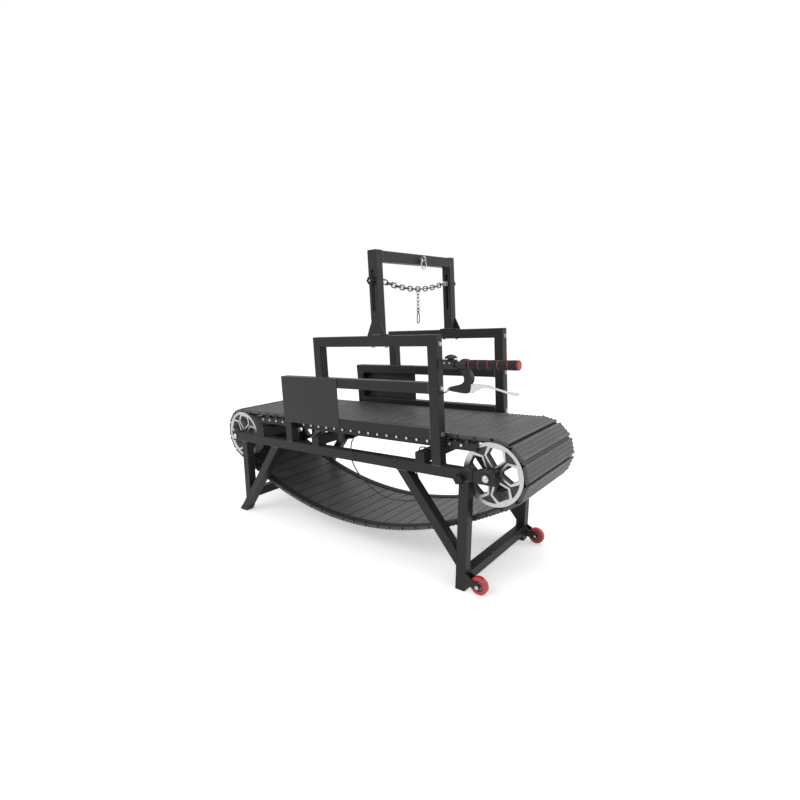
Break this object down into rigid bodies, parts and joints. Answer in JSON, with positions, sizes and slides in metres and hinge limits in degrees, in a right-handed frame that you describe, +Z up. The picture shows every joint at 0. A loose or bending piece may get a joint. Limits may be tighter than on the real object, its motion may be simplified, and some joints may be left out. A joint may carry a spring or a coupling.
{
  "type": "dog treadmill",
  "caption": "Slat-belt dog treadmill on a welded tube frame with side guards, an arch with a chain, a handle and a hand brake.",
  "frame": {"origin": "on the floor, in the middle of the treadmill's footprint", "axes": "+X forward along the belt, +Y to the left of a dog that walks forward, +Z up"},
  "size_m": [1.6896, 0.5806, 1.2283],
  "materials": {
    "frame_paint": "satin charcoal powder coat",
    "plate_paint": "satin charcoal powder coat, bare of any mark",
    "tube_plug": "moulded",
    "rubber_foot": "matt",
    "zinc_steel": "zinc plated",
    "chain_steel": "bright plated",
    "knob_plastic": "moulded",
    "slat_plastic": "extruded, ribbed",
    "belt_rubber": "matt",
    "dark_steel": "dark coated",
    "bearing_steel": "ground",
    "wheel_alloy": "machined outlines, dark recesses",
    "caster_red": "moulded",
    "grip_foam": "foam",
    "grip_red": "moulded",
    "lever_plastic": "moulded",
    "lever_alloy": "polished",
    "cable_sheath": "smooth sheath",
    "pad_rubber": "matt"
  },
  "bodies": {
    "frame": {"lower_rails": "frame_paint", "cross_tubes": "frame_paint", "tube_plugs": "tube_plug", "front_legs": "frame_paint", "front_braces": "frame_paint", "front_cross_bar": "frame_paint", "rear_legs": "frame_paint", "rear_braces": "frame_paint", "rear_cross_bar": "frame_paint", "rear_feet": "rubber_foot", "front_post_right": "frame_paint", "front_post_left": "frame_paint", "rear_posts": "frame_paint", "lower_bars": "frame_paint", "mid_rails": "frame_paint", "side_plate_right": "plate_paint", "side_plate_left": "plate_paint", "upper_guard_right": "frame_paint", "upper_guard_left": "frame_paint", "guard_bolts": "zinc_steel", "arch_posts": "frame_paint", "arch_bar": "frame_paint", "eye_bolt": "zinc_steel", "slats": "slat_plastic", "belts": "belt_rubber", "bearing_rails": "dark_steel", "deck_bearings": "bearing_steel", "bearing_bolts": "zinc_steel", "rear_arms": "dark_steel", "rear_axle": "zinc_steel", "caster_forks": "dark_steel", "caster_bolts": "zinc_steel", "handle_socket": "dark_steel", "handle_bar": "dark_steel", "handle_grip": "grip_foam", "grip_rings": "grip_red", "lever_body": "lever_plastic", "brake_cable": "cable_sheath", "brake_bracket": "dark_steel"},
    "tension_carriage": {"front_arms": "dark_steel", "front_axle": "zinc_steel"},
    "front_wheel_right_body": {"front_wheel_right": "wheel_alloy"},
    "front_wheel_left_body": {"front_wheel_left": "wheel_alloy"},
    "rear_wheel_right_body": {"rear_wheel_right": "wheel_alloy"},
    "rear_wheel_left_body": {"rear_wheel_left": "wheel_alloy"},
    "lock_knob_right_body": {"lock_knob_right": "knob_plastic"},
    "lock_knob_left_body": {"lock_knob_left": "knob_plastic"},
    "caster_right_body": {"caster_right": "caster_red"},
    "caster_left_body": {"caster_left": "caster_red"},
    "clamp_knob_body": {"clamp_knob": "knob_plastic"},
    "lever": {"lever_blade": "lever_alloy"},
    "rocker": {"brake_rocker": "dark_steel", "brake_pad": "pad_rubber"},
    "chain_carrier": {"chain_bolt_right": "zinc_steel", "chain": "chain_steel"},
    "chain_anchor_left": {"chain_bolt_left": "zinc_steel"},
    "chain_knob_right_body": {"chain_knob_right": "knob_plastic"},
    "chain_knob_left_body": {"chain_knob_left": "knob_plastic"},
    "ring": {"tie_ring": "zinc_steel"},
    "lead_chain": {"lead": "chain_steel"}
  },
  "joints": [
    {"name": "belt_tension", "type": "slide", "parent": "frame", "child": "tension_carriage", "axis": [0.9993, 0, 0.0384], "range_m": [-0.012, 0]},
    {"name": "front_wheel_right_spin", "type": "hinge", "parent": "tension_carriage", "child": "front_wheel_right_body", "pos_m": [0.71247, -0.196, 0.44237], "axis": [0, 1, 0], "continuous": true},
    {"name": "front_wheel_left_spin", "type": "hinge", "parent": "tension_carriage", "child": "front_wheel_left_body", "pos_m": [0.71247, 0.196, 0.44237], "axis": [0, 1, 0], "continuous": true},
    {"name": "rear_wheel_right_spin", "type": "hinge", "parent": "frame", "child": "rear_wheel_right_body", "pos_m": [-0.71247, -0.196, 0.38763], "axis": [0, 1, 0], "continuous": true},
    {"name": "rear_wheel_left_spin", "type": "hinge", "parent": "frame", "child": "rear_wheel_left_body", "pos_m": [-0.71247, 0.196, 0.38763], "axis": [0, 1, 0], "continuous": true},
    {"name": "lock_knob_right_turn", "type": "hinge", "parent": "frame", "child": "lock_knob_right_body", "pos_m": [0.61604, -0.28, 0.42566], "axis": [0, 1, 0], "continuous": true},
    {"name": "lock_knob_left_turn", "type": "hinge", "parent": "frame", "child": "lock_knob_left_body", "pos_m": [0.61604, 0.28, 0.42566], "axis": [0, 1, 0], "continuous": true},
    {"name": "caster_right_spin", "type": "hinge", "parent": "frame", "child": "caster_right_body", "pos_m": [0.68525, -0.253, 0.0346], "axis": [0, 1, 0], "continuous": true},
    {"name": "caster_left_spin", "type": "hinge", "parent": "frame", "child": "caster_left_body", "pos_m": [0.68525, 0.247, 0.0346], "axis": [0, 1, 0], "continuous": true},
    {"name": "clamp_knob_turn", "type": "hinge", "parent": "frame", "child": "clamp_knob_body", "pos_m": [0.56402, -0.25, 0.84197], "axis": [-0.0384, 0, 0.9993], "continuous": true},
    {"name": "lever_squeeze", "type": "hinge", "parent": "frame", "child": "lever", "pos_m": [0.63834, -0.25, 0.74357], "axis": [0, -1, 0], "range_deg": [0, 18], "stiffness_Nm_per_rad": 1, "springref_deg": -14.32},
    {"name": "brake_rock", "type": "hinge", "parent": "frame", "child": "rocker", "pos_m": [-0.002, -0.166, 0.46696], "axis": [0, 1, 0], "range_deg": [0, 2.8]},
    {"name": "chain_height", "type": "slide", "parent": "frame", "child": "chain_carrier", "axis": [-0.0384, 0, 0.9993], "range_m": [-0.1, 0.03]},
    {"name": "chain_height_left", "type": "slide", "parent": "frame", "child": "chain_anchor_left", "axis": [-0.0384, 0, 0.9993], "range_m": [-0.1, 0.03]},
    {"name": "chain_knob_right_turn", "type": "hinge", "parent": "chain_carrier", "child": "chain_knob_right_body", "pos_m": [0.23624, -0.28, 1.11659], "axis": [0, 1, 0], "continuous": true},
    {"name": "chain_knob_left_turn", "type": "hinge", "parent": "chain_anchor_left", "child": "chain_knob_left_body", "pos_m": [0.23624, 0.28, 1.11659], "axis": [0, 1, 0], "continuous": true},
    {"name": "ring_swing", "type": "hinge", "parent": "frame", "child": "ring", "pos_m": [0.2693, 0.012, 1.20692], "axis": [0, -1, 0], "range_deg": [-25, 60]},
    {"name": "lead_swing", "type": "hinge", "parent": "chain_carrier", "child": "lead_chain", "pos_m": [0.23762, 0.01326, 1.08072], "axis": [0, 1, 0], "range_deg": [-60, 60]}
  ],
  "couplings": [
    {"joint": "front_wheel_left_spin", "follows": "front_wheel_right_spin", "ratio": 1},
    {"joint": "rear_wheel_right_spin", "follows": "front_wheel_right_spin", "ratio": 1},
    {"joint": "rear_wheel_left_spin", "follows": "front_wheel_right_spin", "ratio": 1},
    {"joint": "chain_height_left", "follows": "chain_height", "ratio": 1},
    {"joint": "brake_rock", "follows": "lever_squeeze", "ratio": 0.155}
  ]
}
